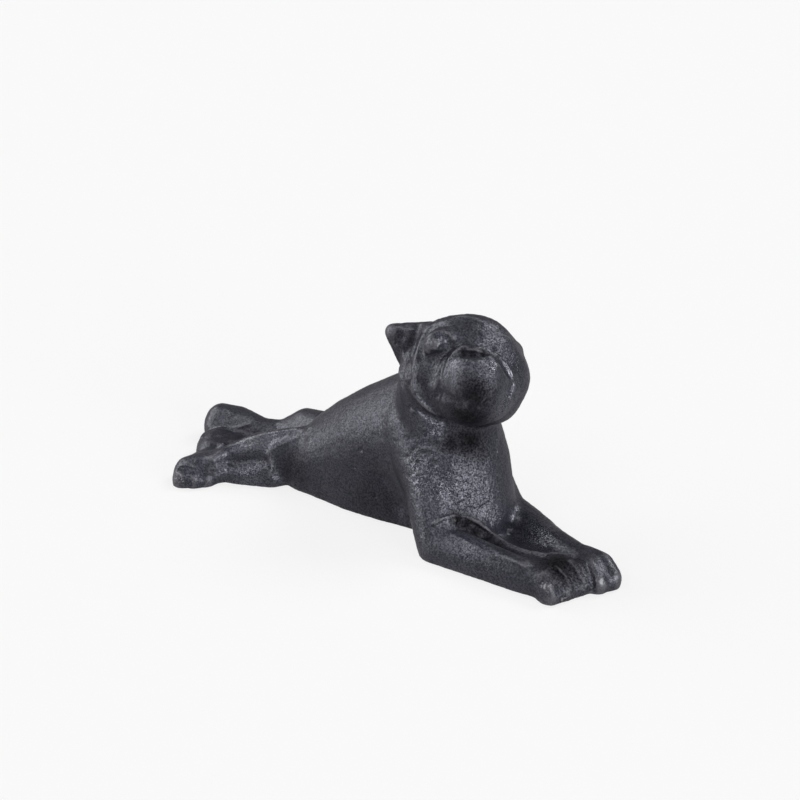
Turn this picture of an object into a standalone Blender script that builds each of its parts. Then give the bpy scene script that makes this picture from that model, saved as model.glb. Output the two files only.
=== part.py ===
"""Cast-iron doorstop in the shape of a stretched-out dog: a cored casting on four rubber pads."""

import math

import bmesh
import bpy
import numpy as np
from mathutils import Euler, Matrix, Vector
from mathutils.bvhtree import BVHTree

MM = 0.001

# All lengths below are millimetres and all angles degrees.
# The animal lies along a flat arc, its spine, measured from its hind toes at 0.
SPINE_RADIUS = 260.8
SPINE_MIDDLE = 122.0
SPINE_TURN = -3.2

# Lengths along the spine, and the stations that they lead to, from the hind toes forward.
HIND_TOE_LENGTH = 8.0
HIND_FOOT_LENGTH = 22.0
SHANK_LENGTH = 20.0
THIGH_LENGTH = 16.0
TRUNK_LENGTH = 78.0
HEAD_REACH = 21.0
UPPER_ARM_REACH = 27.0
ELBOW_LENGTH = 19.0
FOREARM_LENGTH = 34.0
FRONT_FOOT_LENGTH = 12.0
HIND_PAW_AT = HIND_TOE_LENGTH
HOCK_AT = HIND_PAW_AT + HIND_FOOT_LENGTH
HIP_AT = HOCK_AT + SHANK_LENGTH
LOIN_AT = HIP_AT + THIGH_LENGTH
SHOULDER_AT = LOIN_AT + TRUNK_LENGTH
HEAD_AT = SHOULDER_AT + HEAD_REACH
ELBOW_AT = SHOULDER_AT + UPPER_ARM_REACH
FOREARM_AT = ELBOW_AT + ELBOW_LENGTH
WRIST_AT = FOREARM_AT + FOREARM_LENGTH
PAW_AT = WRIST_AT + FRONT_FOOT_LENGTH

# The trunk: heights above the base, half widths, and the half lengths of its end sections.
LOIN_HEIGHT = 24.0
BACK_HEIGHT = 82.0
TRUNK_HALF_WIDTH = 25.0
TRUNK_SECTIONS = (0, 0.1, 0.25, 0.45, 0.7, 1)
BACK_SWELL = 0.7
LOIN_NARROWING = 0.8
LOIN_FULLNESS = 0.7
SHOULDER_FULLNESS = 0.5
LOIN_HALF_LENGTH = 10.0
SHOULDER_HALF_LENGTH = 18.0
BELLY_HEIGHT = 8.0
BASE_TUCK = 3.0
BASE_SWELL = 4.0
NECK_HEIGHT = 80.0
NECK_HALF_WIDTH = 24.0
CHEST_HALF_WIDTH = 24.0

# Legs. The near side is the animal's right, the far side its left.
ELBOW_SPREAD_NEAR = 30.0
ELBOW_SPREAD_FAR = 15.0
FOREARM_RADIUS = 9.5
FOREARM_AXIS_UP = 5.0
FOREARM_HALF_LENGTH = 9.0
UPPER_ARM_RADIUS = 12.0
WRIST_RADIUS = 5.8
WEB_HEIGHT = 4.5
WEB_SHELF_HEIGHT = 9.5
PAW_GAP_ACROSS = 3.0
PAW_WIDTH_NEAR = 24.0
PAW_WIDTH_FAR = 16.5
PAW_HEIGHT = 14.5
TOES_NEAR = 3
TOES_FAR = 2
TOE_HALF_LENGTH = 6.0
TOE_OVERLAP = 0.58
TOE_GROOVE = 0.9
HIND_SPREAD_NEAR = 23.0
HIND_SPREAD_FAR = 31.0
HIND_PAW_HEIGHT = 14.0
HIP_HEIGHT = 24.0
TAIL_HEIGHT = 10.0

# The head: its centre, the way it faces, and its main forms.
HEAD_ACROSS = -4.0
HEAD_UP = 84.0
HEAD_TURN = -42.0
HEAD_TILT = -8.0
HEAD_HALF_WIDTH = 28.0
HEAD_HALF_HEIGHT = 25.0
HEAD_HALF_DEPTH = 16.0
MUZZLE_HALF_WIDTH = 19.0
MUZZLE_HALF_HEIGHT = 20.0
MUZZLE_REACH = 28.0
EYE_RADIUS = 5.0
EAR_REACH = 36.0
EAR_UP = 15.5

# The casting: the core that hollows it, and the pads it stands on.
WALL = 5.5
PAD_DIAMETER = 11.0
PAD_THICKNESS = 2.2
PAD_PROUD = 1.0
PAD_CLEARANCE = 0.3
PAD_EDGE = 0.4
PAD_SIDES = 32
SEAT_MOUTH = 2.0
CUTTER_DEPTH = 40.0

# Surface resolution.
BALL_SEGMENTS = 24
BALL_RINGS = 14
VOXEL = 1.2
CORE_VOXEL = 2.5
CASTING_TRIANGLES = 9500
CORE_TRIANGLES = 900
RELAX = 0.5
RELAX_STEPS = 8
STROKE_STEP = 0.8

# Modelled lines of the head. Each has a half width and a height, negative where it is pressed
# in, and points forward, left and up of the head's centre.
HEAD_LINES = {
    "mask_edge": (1.9, 1.3, [
        (-5, -15, 22), (-4, -20, 20), (-2, -23, 16), (2, -26, 10), (6, -27, 4), (8, -28, -2),
        (8, -27, -8), (8, -24, -13), (8, -20, -17), (7, -14, -20),
    ]),
    "fold_behind_mask": (2.0, -1.5, [(-8, -24, 19), (-5, -28, 11), (-1, -30, 3), (1, -31, -5)]),
    "cheek_fold": (1.5, 0.9, [(-10, -30, 10), (-7, -31, 4), (-4, -32, -4), (-3, -32, -12)]),
    "crown_rim": (1.5, 0.7, [(-5, -13, 23), (-1, -7, 25), (3, -2, 25), (4, 5, 25)]),
    "brow": (2.0, 1.4, [(7, -22, 11), (5, -21, 15), (4, -18, 19), (6, -13, 20), (8, -10, 18)]),
    "far_brow": (2.0, 0.9, [(8, 6, 18), (7, 11, 19), (4, 16, 16)]),
    "eye_socket": (2.6, -1.6, [(8, -10, 14), (9, -14, 11), (9, -19, 10)]),
    "muzzle_side": (2.8, -1.7, [(10, -18, 9), (9, -21, 3), (9, -23, -4), (10, -22, -10)]),
    "muzzle_rim": (1.6, 1.1, [
        (11, -20, -9), (12, -19, -5), (16, -17, 2), (15, -15, 7), (14, -13, 13), (13, -7, 15),
        (16, -1, 16), (17, 3, 15), (18, 7, 13), (19, 11, 10), (19, 15, 4), (13, 18, -4), (10, 18, -10),
    ]),
    "nose": (3.0, -1.1, [(18, -8, 13), (20, -4, 14), (20, 2, 14), (21, 5, 13)]),
    "mouth": (1.6, -1.2, [(12, -19, -7), (20, -15, -7), (25, -10, -7)]),
    "under_jaw": (2.6, -2.2, [(5, -27, -13), (6, -22, -19), (7, -14, -23), (9, -4, -25)]),
}

# Modelled lines of the body: points along the spine, to the left of it and above the base.
BODY_LINES = {
    "shelf_hollow": (3.6, -1.1, [
        (FOREARM_AT - 6, -17, 11), (FOREARM_AT + 5, -16, 9), (WRIST_AT - 18, -15, 8),
        (WRIST_AT - 10, -13, 9),
    ]),
    "web_valley": (2.6, -2.2, [
        (ELBOW_AT + 7, 3, 5), (FOREARM_AT - 4, 1, 3), (FOREARM_AT + 4, 1, 3), (WRIST_AT - 22, 3, 3),
        (WRIST_AT - 14, 4, 7),
    ]),
    "shelf_ridge": (1.7, 1.8, [
        (ELBOW_AT + 5, -27, 18), (ELBOW_AT + 8, -19, 16), (ELBOW_AT + 11, -14, 13),
        (FOREARM_AT - 2, -10.5, 10), (FOREARM_AT + 7, -9, 8.5),
        (WRIST_AT - 14, -7.5, 9), (WRIST_AT - 8, -5, 10), (WRIST_AT - 2, -2, 11.5),
        (WRIST_AT + 3, 2.5, 13),
    ]),
    "foreleg_crest": (3.0, 1.3, [
        (ELBOW_AT + 1, 2 - ELBOW_SPREAD_NEAR, 15), (FOREARM_AT, 3 - ELBOW_SPREAD_NEAR, 14),
        (WRIST_AT - 13, 6 - ELBOW_SPREAD_NEAR, 14), (WRIST_AT, 9 - ELBOW_SPREAD_NEAR, 14),
    ]),
    "armpit": (6.0, -3.0, [
        (SHOULDER_AT - 18, -25, 22), (SHOULDER_AT - 13, -25, 16), (SHOULDER_AT - 10, -25, 11),
    ]),
    "hind_crest": (2.6, 1.5, [
        (HOCK_AT - 12, -22, 12), (HOCK_AT - 6, -14, 15), (HOCK_AT, -9, 17), (HIP_AT - 6, -9, 23),
        (HIP_AT + 6, -7, 26), (LOIN_AT, -6, 28),
    ]),
    "hind_fold": (3.0, -1.6, [(HOCK_AT - 4, -20, 10), (HOCK_AT + 5, -19, 12), (HIP_AT - 3, -18, 14)]),
    "rump_hem": (1.5, 1.0, [
        (LOIN_AT + 2, -11, 29), (LOIN_AT - 6, -13, 25), (HIP_AT + 4, -15, 23), (HIP_AT, -18, 18),
        (HIP_AT + 2, -21, 8),
    ]),
    "rump_hollow": (3.5, -1.2, [(HIP_AT + 7, -20, 17), (HIP_AT + 8, -21, 8)]),
    "hind_paw_crease": (1.7, -1.4, [
        (HIND_PAW_AT - 7, -28, 10), (HIND_PAW_AT, -30, 10), (HIND_PAW_AT + 7, -30, 9),
    ]),
    "tail_valley": (3.2, -1.6, [
        (HIND_PAW_AT - 2, -6, 10), (HOCK_AT - 8, -2, 11), (HOCK_AT + 8, 1, 15), (HIP_AT + 4, 3, 20),
    ]),
}

PAINT = (0.062, 0.061, 0.070, 1)
PAINT_ROUGHNESS = 0.42
RUBBER = (0.02, 0.02, 0.02, 1)
RUBBER_ROUGHNESS = 0.8


def mm(*values):
    """A point or size given in millimetres, as a vector in metres."""
    return Vector(values) * MM


def between(low, high, share):
    return low + (high - low) * share


def on_spine(along, across, up):
    """Matrix of a place beside the spine: X runs towards the head, Y to the animal's left."""
    angle = (along - SPINE_MIDDLE) / SPINE_RADIUS + math.radians(SPINE_TURN)
    reach = SPINE_RADIUS + across
    place = mm(reach * math.sin(angle), reach * math.cos(angle) - SPINE_RADIUS, up + PAD_PROUD)
    return Matrix.Translation(place) @ Matrix.Rotation(-angle, 4, "Z")


def on_head(forward, left, up):
    """Matrix of a place on the head, from the head's centre, in the way that it faces."""
    turn = Euler((0, math.radians(HEAD_TILT), math.radians(HEAD_TURN))).to_matrix().to_4x4()
    return on_spine(HEAD_AT, HEAD_ACROSS, HEAD_UP) @ turn @ Matrix.Translation(mm(forward, left, up))


def ball(bm, place, radii):
    """Adds an ellipsoid at a place, its axes along the place's own."""
    shape = place @ Matrix.Diagonal((*mm(*radii), 1))
    bmesh.ops.create_uvsphere(
        bm, u_segments=BALL_SEGMENTS, v_segments=BALL_RINGS, radius=1, matrix=shape
    )


def lump(bm, *balls):
    """Skins a group of ellipsoids, each a place and its radii, with their convex hull."""
    part = bmesh.new()
    for place, radii in balls:
        ball(part, place, radii)
    hull = bmesh.ops.convex_hull(part, input=part.verts)
    skin = {face for face in hull["geom"] if isinstance(face, bmesh.types.BMFace)}
    inner = [face for face in part.faces if face not in skin]
    bmesh.ops.delete(part, geom=inner, context="FACES_ONLY")
    bmesh.ops.delete(part, geom=[v for v in part.verts if not v.link_faces], context="VERTS")
    mesh = bpy.data.meshes.new("lump")
    part.to_mesh(mesh)
    part.free()
    bm.from_mesh(mesh)
    bpy.data.meshes.remove(mesh)


def limb(bm, stations):
    """Skins each pair of neighbouring ellipsoids along a limb, so that it tapers."""
    for pair in zip(stations, stations[1:]):
        lump(bm, *pair)


def trunk(bm, inset=0.0):
    """The barrel of the body, rising from the loin to the shoulder; an inset makes its core."""
    arch, base = [], []
    for share in TRUNK_SECTIONS:
        along = between(LOIN_AT, SHOULDER_AT, share)
        top = between(LOIN_HEIGHT, BACK_HEIGHT, share ** BACK_SWELL)
        half_length = between(LOIN_HALF_LENGTH, SHOULDER_HALF_LENGTH, share) - inset
        half_width = between(LOIN_NARROWING, 1, min(1, 2 * share)) * TRUNK_HALF_WIDTH - inset
        half_height = between(LOIN_FULLNESS, SHOULDER_FULLNESS, share) * top
        base_width = half_width - BASE_TUCK + 4 * BASE_SWELL * share * (1 - share)
        arch.append((on_spine(along, 0, top - half_height), (half_length, half_width, half_height - inset)))
        base.append((on_spine(along, 0, 0), (half_length, base_width, BELLY_HEIGHT)))
    for section in zip(arch, arch[1:], base, base[1:]):
        lump(bm, *section)


def neck_and_chest(bm):
    """The neck rises from the shoulder to the head; the chest runs from it down to the floor."""
    limb(bm, [
        (on_spine(SHOULDER_AT, 0, 0.68 * BACK_HEIGHT), (21, NECK_HALF_WIDTH, 24)),
        (on_spine(SHOULDER_AT + 6, -7, NECK_HEIGHT), (18, NECK_HALF_WIDTH, 18)),
    ])
    limb(bm, [
        (on_spine(SHOULDER_AT + 6, 0, 52), (21, CHEST_HALF_WIDTH, 20)),
        (on_spine(SHOULDER_AT + 17, -1, 32), (18, CHEST_HALF_WIDTH, 20)),
        (on_spine(ELBOW_AT + 1, -2, 10), (14, 0.8 * CHEST_HALF_WIDTH, 13)),
    ])
    lump(
        bm,
        (on_spine(SHOULDER_AT + 14, -10, 40), (16, 16, 16)),
        (on_spine(ELBOW_AT - 6, -14, 20), (13, 15, 12)),
    )


def forelegs(bm):
    """Two forelegs laid forward; a web of metal joins them, with a shelf from the chest's foot."""
    up, length = FOREARM_AXIS_UP, FOREARM_HALF_LENGTH
    thick, slim = FOREARM_RADIUS, 0.9 * FOREARM_RADIUS
    out = -ELBOW_SPREAD_NEAR - 0.5
    near = [
        (on_spine(ELBOW_AT, out, up), (length + 2, thick + 1.5, thick + 1)),
        (on_spine(FOREARM_AT - 3, out + 2, up), (length, thick, thick)),
        (on_spine(FOREARM_AT + 13, out + 5, up), (length, 0.8 * thick, thick)),
        (on_spine(WRIST_AT - 6, out + 9, up), (length, WRIST_RADIUS + 0.5, thick)),
        (on_spine(WRIST_AT + 4, out + 14.5, up), (length, WRIST_RADIUS + 1.5, slim)),
    ]
    out = ELBOW_SPREAD_FAR
    far = [
        (on_spine(ELBOW_AT, out, up), (length + 2, thick + 1, thick + 1)),
        (on_spine(FOREARM_AT - 3, out - 1.5, up), (length, slim, thick)),
        (on_spine(FOREARM_AT + 18, out - 5.5, up), (length, WRIST_RADIUS + 1.5, slim + 0.5)),
        (on_spine(WRIST_AT, out - 5, up), (length, WRIST_RADIUS + 1, slim)),
    ]
    arm = UPPER_ARM_RADIUS
    for side, spread, foreleg in ((-1, ELBOW_SPREAD_NEAR, near), (1, ELBOW_SPREAD_FAR, far)):
        limb(bm, [
            (on_spine(SHOULDER_AT - 8, side * arm, 46), (18, arm + 1.5, 20)),
            (on_spine(ELBOW_AT - 17, side * between(arm + 1, spread, 0.45), 28), (14, arm, 16)),
            foreleg[0],
        ])
        limb(bm, foreleg)
    limb(bm, [
        (on_spine(ELBOW_AT, -5, 0), (14, 16, 7)),
        (on_spine(FOREARM_AT, -6, 0), (10, 14, WEB_HEIGHT)),
        (on_spine(WRIST_AT, 0, 2), (10, 14, 7)),
    ])
    limb(bm, [
        (on_spine(ELBOW_AT - 4, -17, 3), (13, 14, WEB_SHELF_HEIGHT + 3.5)),
        (on_spine(ELBOW_AT + 8, -18, 1), (9, 12.5, WEB_SHELF_HEIGHT + 2)),
        (on_spine(FOREARM_AT + 8, -17, 0), (9, 11.5, WEB_SHELF_HEIGHT)),
        (on_spine(WRIST_AT - 9, -13, 0), (9, 11, WEB_SHELF_HEIGHT + 0.5)),
    ])
    ball(bm, on_spine(ELBOW_AT + 6, -17, WEB_SHELF_HEIGHT), (9, 11, 7.5))


def paws(bm):
    """Each front paw is a low knuckle with toes fanned out of it, webbed to a shallow groove."""
    near = (PAW_GAP_ACROSS - PAW_WIDTH_NEAR / 2, PAW_WIDTH_NEAR, TOES_NEAR, PAW_AT - 2)
    far = (PAW_GAP_ACROSS + PAW_WIDTH_FAR / 2, PAW_WIDTH_FAR, TOES_FAR, PAW_AT + 1)
    for middle, width, toes, along in (near, far):
        knuckle = (on_spine(WRIST_AT + 4, middle, PAW_HEIGHT - 9), (9, 0.42 * width, 8.5))
        web = [knuckle]
        for toe in range(toes):
            across = middle + (toe - (toes - 1) / 2) * width / toes
            radii = (TOE_HALF_LENGTH, TOE_OVERLAP * width / toes, TOE_HALF_LENGTH + 0.5)
            joints = ((along - 1, PAW_HEIGHT - 7.5), (along + 4.5, PAW_HEIGHT - 11))
            lump(bm, knuckle, *((on_spine(at, across, up), radii) for at, up in joints))
            web += [(on_spine(at - TOE_GROOVE, across, up - TOE_GROOVE), radii) for at, up in joints]
        lump(bm, *web)


def hind_legs(bm):
    """Two hind legs stretched back on the floor, the tail between them webbed to the near foot."""
    near, far = -HIND_SPREAD_NEAR, HIND_SPREAD_FAR
    limb(bm, [
        (on_spine(LOIN_AT + 2, 0.2 * near, 16), (12, 12, 13)),
        (on_spine(HIP_AT - 4, 0.4 * near, HIP_HEIGHT - 13), (11, 10, 13)),
        (on_spine(HOCK_AT - 3, 0.52 * near, 6), (9, 8, 10)),
        (on_spine(HIND_PAW_AT - 0.5, near + 2, 3.5), (11, 10, HIND_PAW_HEIGHT - 5)),
    ])
    for step, out in ((-5.5, 4), (1.5, 3.5), (7.5, 1)):
        lump(
            bm,
            (on_spine(HIND_PAW_AT + step, near + 2, 4), (5.5, 6, 8)),
            (on_spine(HIND_PAW_AT + step, near - out, 2), (5.5, 6, 8)),
        )
    limb(bm, [
        (on_spine(HIP_AT - 1, 0.55 * near, 4), (10, 9, 11)),
        (on_spine(HOCK_AT + 1, 0.6 * near, 1), (10.5, 9, 9.5)),
    ])
    limb(bm, [
        (on_spine(LOIN_AT + 8, 0.5 * far, 14), (13, 14, 14)),
        (on_spine(HIP_AT + 3, 0.76 * far, HIP_HEIGHT - 13.5), (9, 12.5, 14)),
        (on_spine(HOCK_AT + 12, 0.72 * far, 5), (8, 9, 11.5)),
        (on_spine(HOCK_AT + 1, 0.7 * far, 5), (9, 9, 11.5)),
        (on_spine(HIND_PAW_AT + 9, far - 2, 5), (9, 11.5, HIND_PAW_HEIGHT - 1)),
        (on_spine(HIND_PAW_AT - 1, far, 5), (9, 12, HIND_PAW_HEIGHT - 1)),
    ])
    limb(bm, [
        (on_spine(HIP_AT + 10, 2, TAIL_HEIGHT - 3), (10, 12, 8)),
        (on_spine(HOCK_AT, 6, TAIL_HEIGHT - 7), (10, 14, 6)),
        (on_spine(HIND_PAW_AT + 2, 9, TAIL_HEIGHT - 7), (10, 13, 9.5)),
        (on_spine(HIND_PAW_AT + 4, -4, TAIL_HEIGHT - 8), (9, 10, 9)),
        (on_spine(HIND_PAW_AT + 3, 0.65 * near, TAIL_HEIGHT - 8), (10.5, 9, 10.5)),
    ])


def head(bm):
    """A flat broad mask with the muzzle standing out of it, and the side of the neck behind."""
    wide, tall, deep = HEAD_HALF_WIDTH, HEAD_HALF_HEIGHT, HEAD_HALF_DEPTH
    lump(
        bm,
        (on_head(-10, 0, 0), (deep, wide - 2, tall - 4)),
        (on_head(0, -0.5, -4), (deep, wide, tall - 5)),
        (on_head(-2, -2, 9.5), (deep - 2, wide - 6, tall - 8)),
        (on_head(-2, 8, -12), (deep - 2, 16, 15)),
    )
    limb(bm, [
        (on_head(-12, -12, -2), (16, 18.5, 18)),
        (on_head(-17, -9, -26), (18, 19, 20)),
    ])
    reach, across, up = MUZZLE_REACH, MUZZLE_HALF_WIDTH, MUZZLE_HALF_HEIGHT
    lump(
        bm,
        (on_head(reach - 13, 0, -4), (13, across - 5, up - 4)),
        (on_head(7, 0, -9), (15, across, up - 5)),
        (on_head(4, -1.5, 4), (14, across - 4, up - 6)),
    )
    for forward, left, up in ((6.5, -17.5, 15), (3.5, 9, 16)):
        ball(bm, on_head(forward, left, up), (EYE_RADIUS, EYE_RADIUS, EYE_RADIUS))


def ears(bm):
    """The near ear is a thick flap held out sideways; the far one lies folded on the head."""
    lump(
        bm,
        (on_head(-8, -17, EAR_UP + 0.5), (6, 8, 6)),
        (on_head(-16, -EAR_REACH, EAR_UP), (5, 3.5, 4)),
        (on_head(-14, -25, 0), (6, 7, 8)),
    )
    limb(bm, [(on_head(-10, 12, 7), (8, 8, 8)), (on_head(-12, 20, 5), (6, 6, 6))])


def clay_object(name, collection, *makers):
    """Joins the lumps that the makers add into one mesh object."""
    bm = bmesh.new()
    for make in makers:
        make(bm)
    bmesh.ops.recalc_face_normals(bm, faces=bm.faces)
    mesh = bpy.data.meshes.new(name)
    bm.to_mesh(mesh)
    bm.free()
    obj = bpy.data.objects.new(name, mesh)
    collection.objects.link(obj)
    return obj


def bake(obj):
    """Replaces the object's mesh by what its modifiers make of it."""
    graph = bpy.context.evaluated_depsgraph_get()
    mesh = bpy.data.meshes.new_from_object(obj.evaluated_get(graph))
    obj.modifiers.clear()
    obj.data = mesh


def fuse(obj, voxel):
    """Melts overlapping lumps into one skin and softens their joints."""
    remesh = obj.modifiers.new("Fuse", "REMESH")
    remesh.mode = "VOXEL"
    remesh.voxel_size = voxel * MM
    relax = obj.modifiers.new("Relax", "SMOOTH")
    relax.factor = RELAX
    relax.iterations = RELAX_STEPS
    bake(obj)


def snapped_path(tree, points):
    """A fine row of points that follows the surface under a rough row."""
    path = []
    for start, end in zip(points, points[1:]):
        steps = max(1, math.ceil((end - start).length / (STROKE_STEP * MM)))
        for step in range(steps):
            path.append(tree.find_nearest(start.lerp(end, step / steps))[0])
    path.append(tree.find_nearest(points[-1])[0])
    return np.array(path)


def draw_lines(obj, place, lines):
    """Raises or presses lines on the object's surface, each with a soft cross-section."""
    mesh = obj.data
    tree = BVHTree.FromObject(obj, bpy.context.evaluated_depsgraph_get())
    points = np.array([vertex.co for vertex in mesh.vertices])
    normals = np.array([vertex.normal for vertex in mesh.vertices])
    lift = np.zeros(len(points))
    for half_width, height, rough in lines.values():
        path = snapped_path(tree, [place(*point).translation for point in rough])
        distance = np.full(len(points), np.inf)
        for point in path:
            distance = np.minimum(distance, np.linalg.norm(points - point, axis=1))
        lift += height * MM * np.exp(-(distance / (half_width * MM)) ** 2)
    moved = points + normals * lift[:, None]
    mesh.vertices.foreach_set("co", moved.ravel())
    mesh.update()


def thin(obj, triangles):
    """Reduces the mesh to about so many triangles, keeping them where it curves."""
    obj.data.calc_loop_triangles()
    reduce = obj.modifiers.new("Thin", "DECIMATE")
    reduce.ratio = min(1.0, triangles / len(obj.data.loop_triangles))
    reduce.use_collapse_triangulate = True
    bake(obj)


def cut(obj, cutter):
    """Cuts a shape out of the object with a live Boolean."""
    cutter.hide_render = True
    cutter.display_type = "WIRE"
    boolean = obj.modifiers.new("Cut " + cutter.name, "BOOLEAN")
    boolean.operation = "DIFFERENCE"
    boolean.solver = "EXACT"
    boolean.object = cutter


def disc(name, collection, place, diameter, bottom, top):
    """An upright cylinder at a place, between two heights."""
    bm = bmesh.new()
    bmesh.ops.create_cone(
        bm, cap_ends=True, segments=PAD_SIDES, radius1=diameter / 2 * MM, radius2=diameter / 2 * MM,
        depth=(top - bottom) * MM,
    )
    mesh = bpy.data.meshes.new(name)
    bm.to_mesh(mesh)
    bm.free()
    obj = bpy.data.objects.new(name, mesh)
    obj.location = (place.translation.x, place.translation.y, (top + bottom) / 2 * MM)
    collection.objects.link(obj)
    return obj


def floor_cutter(collection):
    """A block that takes everything below the ground base."""
    span = 2 * SPINE_RADIUS
    bm = bmesh.new()
    bmesh.ops.create_cube(bm, size=1, matrix=Matrix.Diagonal((*mm(span, span, CUTTER_DEPTH), 1)))
    mesh = bpy.data.meshes.new("below_base")
    bm.to_mesh(mesh)
    bm.free()
    obj = bpy.data.objects.new("below_base", mesh)
    obj.location = (0, 0, (PAD_PROUD - CUTTER_DEPTH / 2) * MM)
    collection.objects.link(obj)
    return obj


def new_collection(name):
    collection = bpy.data.collections.new(name)
    bpy.context.scene.collection.children.link(collection)
    return collection


def finish(name, colour, roughness):
    material = bpy.data.materials.new(name)
    material.use_nodes = True
    shader = material.node_tree.nodes["Principled BSDF"]
    shader.inputs["Base Color"].default_value = colour
    shader.inputs["Roughness"].default_value = roughness
    return material


def centre_on_footprint(casting, collections):
    """Moves everything so that the origin lies under the middle of the casting's extent."""
    graph = bpy.context.evaluated_depsgraph_get()
    shape = casting.evaluated_get(graph)
    points = np.array([vertex.co for vertex in shape.data.vertices])
    middle = (points.min(axis=0) + points.max(axis=0)) / 2
    for collection in collections:
        for obj in collection.objects:
            obj.location.x -= middle[0]
            obj.location.y -= middle[1]
    bpy.context.view_layer.update()


def main():
    for obj in list(bpy.data.objects):
        bpy.data.objects.remove(obj)
    parts = new_collection("dog_doorstop")
    cutters = new_collection("cutters")
    paint = finish("black_paint", PAINT, PAINT_ROUGHNESS)
    rubber = finish("rubber", RUBBER, RUBBER_ROUGHNESS)

    forms = (trunk, neck_and_chest, forelegs, paws, hind_legs, head, ears)
    casting = clay_object("casting", parts, *forms)
    fuse(casting, VOXEL)
    draw_lines(casting, on_head, HEAD_LINES)
    draw_lines(casting, on_spine, BODY_LINES)
    thin(casting, CASTING_TRIANGLES)
    casting.data.materials.append(paint)
    cut(casting, floor_cutter(cutters))

    core = clay_object("core", cutters, lambda bm: trunk(bm, WALL))
    fuse(core, CORE_VOXEL)
    thin(core, CORE_TRIANGLES)
    cut(casting, core)

    spots = {
        "front_left_pad": on_spine(ELBOW_AT, ELBOW_SPREAD_FAR, 0),
        "front_right_pad": on_spine(ELBOW_AT, -ELBOW_SPREAD_NEAR, 0),
        "rear_left_pad": on_spine(HIND_PAW_AT + 2, HIND_SPREAD_FAR, 0),
        "rear_right_pad": on_spine(HIND_PAW_AT + 2, -HIND_SPREAD_NEAR, 0),
    }
    for name, place in spots.items():
        pad = disc(name, parts, place, PAD_DIAMETER, 0, PAD_THICKNESS)
        edge = pad.modifiers.new("Edge", "BEVEL")
        edge.width = PAD_EDGE * MM
        edge.segments = 2
        pad.data.materials.append(rubber)
        seat = disc(
            name + "_seat", cutters, place, PAD_DIAMETER + 2 * PAD_CLEARANCE,
            PAD_PROUD - SEAT_MOUTH, PAD_THICKNESS + PAD_CLEARANCE,
        )
        cut(casting, seat)

    centre_on_footprint(casting, (parts, cutters))


main()
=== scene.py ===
# %% [markdown]
# # A cast-iron doorstop: a dog stretched out flat
#
# The real object is one heavy iron casting, poured in sand, hollowed from below by a core and
# painted satin black. Four small rubber pads keep it from sliding and from scratching the floor.
# The measured solids come in as a fixed frame. This script never moves them: it dresses them, with
# a finer skin over the casting and with procedural finishes.

# %% The measured frame
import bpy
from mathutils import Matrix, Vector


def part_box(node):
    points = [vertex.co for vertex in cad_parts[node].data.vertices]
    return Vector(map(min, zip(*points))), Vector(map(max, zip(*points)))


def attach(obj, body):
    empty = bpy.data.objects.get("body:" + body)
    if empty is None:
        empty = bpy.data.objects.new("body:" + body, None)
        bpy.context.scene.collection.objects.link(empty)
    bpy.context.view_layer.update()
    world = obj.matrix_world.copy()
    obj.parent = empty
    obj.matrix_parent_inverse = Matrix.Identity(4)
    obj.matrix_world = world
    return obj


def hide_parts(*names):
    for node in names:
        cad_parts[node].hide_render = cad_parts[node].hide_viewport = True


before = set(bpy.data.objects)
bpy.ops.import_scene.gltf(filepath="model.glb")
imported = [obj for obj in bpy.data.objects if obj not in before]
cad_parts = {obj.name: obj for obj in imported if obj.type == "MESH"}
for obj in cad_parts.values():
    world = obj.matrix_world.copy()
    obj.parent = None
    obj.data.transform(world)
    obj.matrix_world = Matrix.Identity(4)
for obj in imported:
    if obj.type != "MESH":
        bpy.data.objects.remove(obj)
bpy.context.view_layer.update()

print("frame nodes:", sorted(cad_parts))

# %% [markdown]
# ## Tools
#
# Everything is worked out in metres, but a maker thinks in millimetres, so sizes are written in
# millimetres and multiplied by one constant. Angles are written in degrees.

# %% Modules and units
import math

import bmesh
import bpy
import numpy as np
from mathutils import Euler, Matrix, Vector
from mathutils.bvhtree import BVHTree

MM = 0.001


def mm(*values):
    """A point or size given in millimetres, as a vector in metres."""
    return Vector(values) * MM


print("one millimetre is", MM, "m")

# %% [markdown]
# ## The camera
#
# The photograph looks down on the dog from its right front. A long lens from 0.8 m keeps the paws
# and the head close to their real proportions, as a product photographer would.

# %% Camera
CAMERA_TURN = 38.0
CAMERA_RISE = 25.0
CAMERA_DISTANCE = 800.0
CAMERA_NEAREST = 50.0
CAMERA_LENS = 68.4
CAMERA_AIM = (-32.4, 58.9, 31.0)


def new_object(name, data):
    """An object with that mesh, camera or lamp, linked to the scene."""
    obj = bpy.data.objects.new(name, data)
    bpy.context.scene.collection.objects.link(obj)
    return obj


def direction(turn, rise):
    """The unit vector from the object towards a viewer at that turn and rise."""
    turn, rise = math.radians(turn), math.radians(rise)
    return Vector((
        math.sin(turn) * math.cos(rise),
        -math.cos(turn) * math.cos(rise),
        math.sin(rise),
    ))


def aim(obj, place, target):
    """Stands an object at a place with its -Z axis towards the target."""
    obj.location = place
    obj.rotation_euler = (target - place).to_track_quat("-Z", "Y").to_euler()


camera = new_object("camera", bpy.data.cameras.new("camera"))
camera.data.lens = CAMERA_LENS
camera.data.clip_start = CAMERA_NEAREST * MM
bpy.context.scene.camera = camera
camera_target = mm(*CAMERA_AIM)
camera_offset = direction(CAMERA_TURN, CAMERA_RISE) * CAMERA_DISTANCE * MM
aim(camera, camera_target + camera_offset, camera_target)
print("camera at", [round(x, 3) for x in camera.location])

# %% [markdown]
# ## Building node trees
#
# The materials, the backdrop and the casting's skin are all node trees, and would take hundreds of
# clicks in the editor. A few small helpers empty a material, add a node, set or link an input,
# work with two numbers and turn one range into another, so that the trees below read like recipes.

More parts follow.
